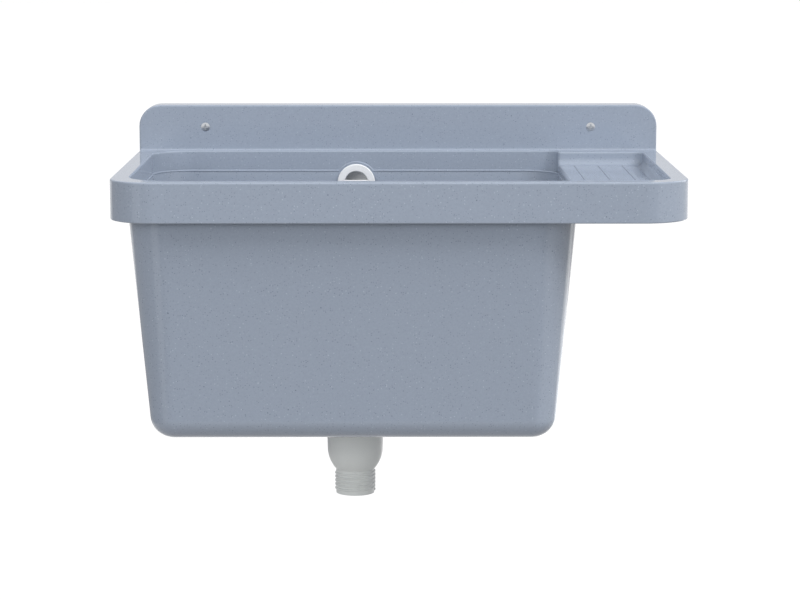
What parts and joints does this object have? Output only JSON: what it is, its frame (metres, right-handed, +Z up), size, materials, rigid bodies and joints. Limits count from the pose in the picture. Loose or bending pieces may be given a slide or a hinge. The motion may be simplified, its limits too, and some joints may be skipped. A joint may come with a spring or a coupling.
{
  "type": "wall-hung utility sink",
  "caption": "Wall-hung moulded utility sink with backsplash, offset deep bowl, side soap tray, overflow and a threaded drain with lift-out strainer basket; no tap.",
  "frame": {"origin": "on the wall plane, at the middle of the basin's width and the height of the flat rim top", "axes": "+Y into the wall, -Y toward the user, +Z up, +X to the user's right when facing the wall"},
  "size_m": [0.61, 0.443, 0.4285],
  "materials": {
    "resin": "glossy cast resin, granite speckle",
    "screw_steel": "bright zinc plate",
    "white_plastic": "gloss",
    "grey_plastic": "satin moulding",
    "hose_plastic": "satin, ribbed",
    "rubber": "matte",
    "stainless": "polished pressing",
    "clip_steel": "rolled strip",
    "brass": "turned",
    "knob_plastic": "satin moulding"
  },
  "bodies": {
    "sink": {"basin": "resin", "wall_screws": "screw_steel", "overflow_rosette": "white_plastic", "overflow_seal": "rubber", "overflow_elbow": "white_plastic", "overflow_hose": "hose_plastic", "hose_clip_upper": "clip_steel", "hose_clip_lower": "clip_steel", "clip_screws": "clip_steel", "drain_cup": "grey_plastic", "drain_top_seal": "rubber", "drain_lower_seal": "rubber", "drain_flange": "stainless", "drain_screw": "stainless", "drain_nut": "brass"},
    "strainer": {"strainer_basket": "stainless", "stopper_seal": "rubber", "basket_stem": "stainless", "stem_clip": "stainless", "basket_knob": "knob_plastic"}
  },
  "joints": [
    {"name": "strainer_lift", "type": "slide", "parent": "sink", "child": "strainer", "axis": [0, 0, 1], "range_m": [0, 0.35]}
  ]
}
